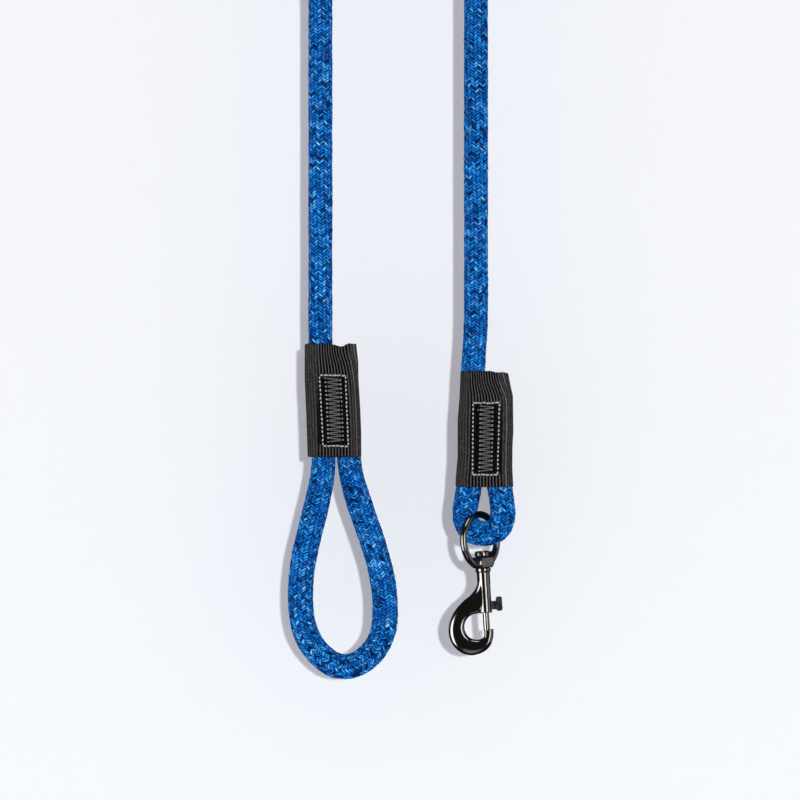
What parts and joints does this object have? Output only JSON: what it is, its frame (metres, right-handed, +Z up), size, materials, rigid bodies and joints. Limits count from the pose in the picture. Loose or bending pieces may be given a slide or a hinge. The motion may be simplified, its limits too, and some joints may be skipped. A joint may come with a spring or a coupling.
{
  "type": "braided rope dog lead",
  "caption": "Round braided rope dog lead with a hand loop, webbing sleeves and a swivel bolt snap, hanging from its middle bend.",
  "frame": {"origin": "underside of the top bend, where the lead rests when it hangs over a round peg", "axes": "+X from the hand loop's strand to the snap's strand, +Y away from the front, +Z up along the strands"},
  "size_m": [0.1133, 0.0238, 0.5893],
  "materials": {
    "rope_cover": "blue heathered polyester braid",
    "rope_core": "undyed parallel fibre",
    "webbing": "black ribbed polyester webbing",
    "thread": "grey bonded thread",
    "gunmetal": "black nickel plated zinc casting",
    "gunmetal_bright": "black nickel plated turned rod",
    "spring_steel": "spring wire"
  },
  "bodies": {
    "lead": {"rope_cover_lead": "rope_cover", "rope_core_lead": "rope_core"},
    "handle_end": {"rope_cover_handle": "rope_cover", "rope_core_handle": "rope_core", "rope_cover_tail": "rope_cover", "rope_core_tail": "rope_core", "handle_sleeve": "webbing", "handle_box_stitch": "thread", "handle_zigzag_stitch": "thread", "handle_back_stitch": "thread"},
    "hand_loop": {"rope_cover_loop": "rope_cover", "rope_core_loop": "rope_core"},
    "snap_end": {"rope_cover_eye": "rope_cover", "rope_core_eye": "rope_core", "snap_sleeve": "webbing", "snap_box_stitch": "thread", "snap_zigzag_stitch": "thread", "snap_back_stitch": "thread"},
    "eye": {"swivel_eye": "gunmetal"},
    "snap": {"snap_body": "gunmetal", "swivel_post": "gunmetal", "bolt_spring": "spring_steel"},
    "bolt": {"spring_bolt": "gunmetal_bright", "thumb_lever": "gunmetal"}
  },
  "joints": [
    {"name": "handle_swing", "type": "hinge", "parent": "lead", "child": "handle_end", "pos_m": [-0.0389, 0, -0.35], "axis": [0, 1, 0], "range_deg": [-3, 55]},
    {"name": "loop_fold", "type": "hinge", "parent": "handle_end", "child": "hand_loop", "pos_m": [-0.0324, 0, -0.47], "axis": [-1, 0, 0], "range_deg": [-25, 55]},
    {"name": "snap_swing", "type": "hinge", "parent": "lead", "child": "snap_end", "pos_m": [0.0389, 0, -0.363], "axis": [0, -1, 0], "range_deg": [-3, 55]},
    {"name": "eye_swing", "type": "hinge", "parent": "snap_end", "child": "eye", "pos_m": [0.0415, 0, -0.5083], "axis": [0.7865, -0.6157, 0.0495], "range_deg": [-35, 35]},
    {"name": "swivel_spin", "type": "hinge", "parent": "eye", "child": "snap", "pos_m": [0.0415, 0, -0.5083], "axis": [-0.0628, 0, 0.998], "continuous": true},
    {"name": "bolt_slide", "type": "slide", "parent": "snap", "child": "bolt", "axis": [-0.0628, 0, 0.998], "range_m": [0, 0.008], "stiffness_N_per_m": 350, "springref_m": -0.004, "deforming": ["bolt_spring"]}
  ]
}
